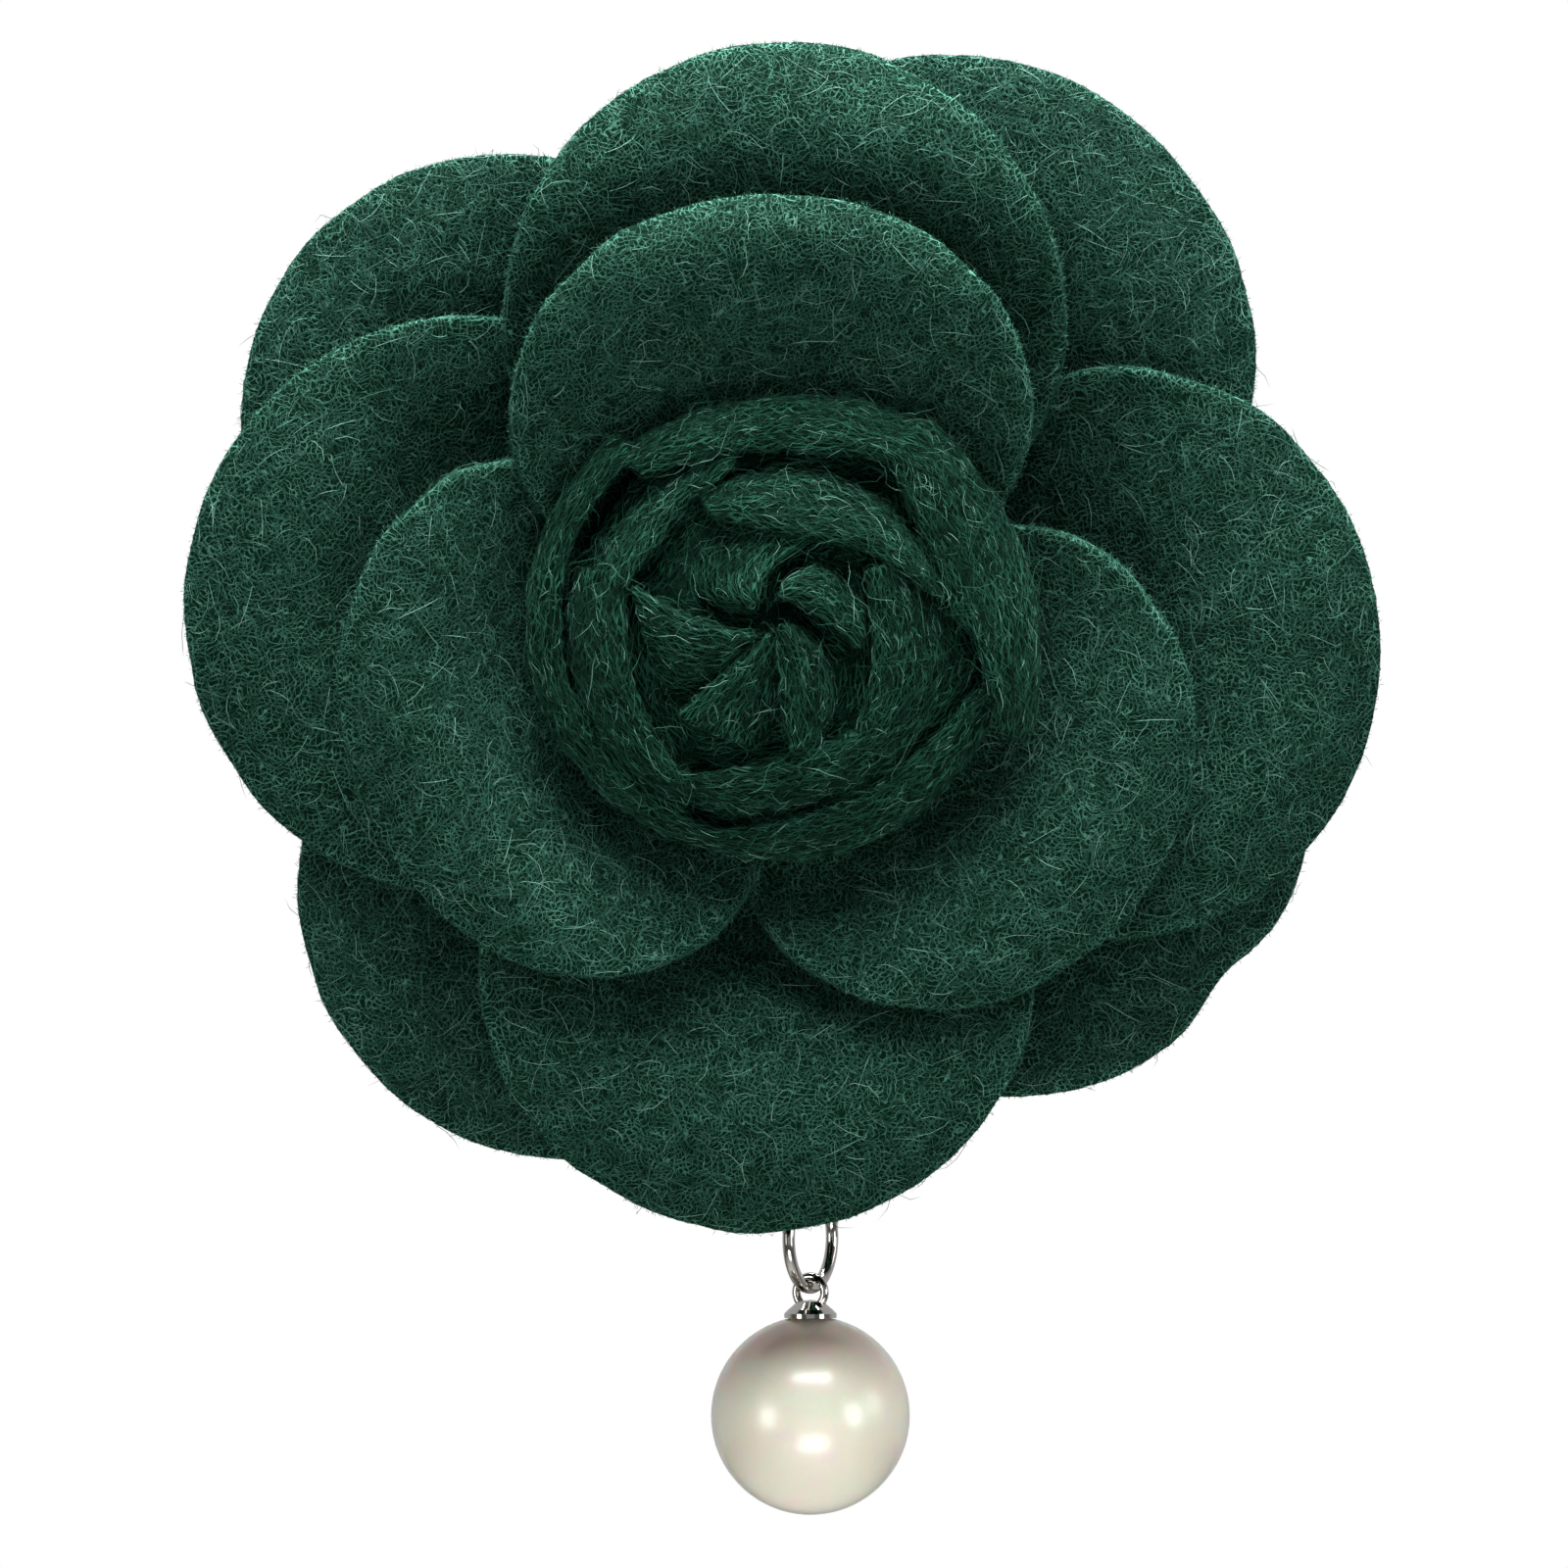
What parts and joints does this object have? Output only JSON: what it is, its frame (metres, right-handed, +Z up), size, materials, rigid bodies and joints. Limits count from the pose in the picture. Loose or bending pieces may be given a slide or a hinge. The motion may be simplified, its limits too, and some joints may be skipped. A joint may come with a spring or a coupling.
{
  "type": "flower brooch",
  "caption": "Camellia brooch of moulded felt petals round a rolled felt bud, with a pearl drop on a jump ring and a bar pin behind.",
  "frame": {"origin": "where it pins on: on the flower's axis, in the plane of the cloth that the needle lies in", "axes": "+Z up, +X to the viewer's right, the flower faces -Y and the cloth is on its +Y side"},
  "size_m": [0.0837, 0.0366, 0.1036],
  "materials": {
    "felt_outer": "wool felt, the darker outer petals",
    "felt_inner": "wool felt",
    "felt_bud": "brushed wool felt",
    "plated_wire": "polished nickel plate",
    "nacre": "pearl lustre",
    "pin_steel": "plated steel"
  },
  "bodies": {
    "flower": {"petal_rear_top": "felt_outer", "petal_rear_bottom": "felt_outer", "petal_rear_left": "felt_outer", "petal_rear_right": "felt_outer", "petal_outer_top_left": "felt_outer", "petal_outer_low_right": "felt_outer", "petal_outer_top_right": "felt_outer", "petal_outer_low_left": "felt_outer", "petal_middle_left": "felt_inner", "petal_middle_right": "felt_inner", "petal_middle_top": "felt_inner", "petal_middle_bottom": "felt_inner", "petal_inner_right": "felt_inner", "petal_inner_left": "felt_inner", "petal_inner_top": "felt_inner", "bud": "felt_bud", "brooch_pin": "pin_steel"},
    "ring": {"jump_ring": "plated_wire"},
    "drop": {"drop_cap": "plated_wire", "pearl": "nacre"}
  },
  "joints": [
    {"name": "ring_swing", "type": "hinge", "parent": "flower", "child": "ring", "pos_m": [0.0022, -0.01203, -0.03906], "axis": [1, 0, 0], "range_deg": [-25, 25]},
    {"name": "drop_swing", "type": "hinge", "parent": "ring", "child": "drop", "pos_m": [0.0022, -0.01203, -0.04606], "axis": [0.4384, 0.8988, 0], "range_deg": [-45, 45]}
  ]
}
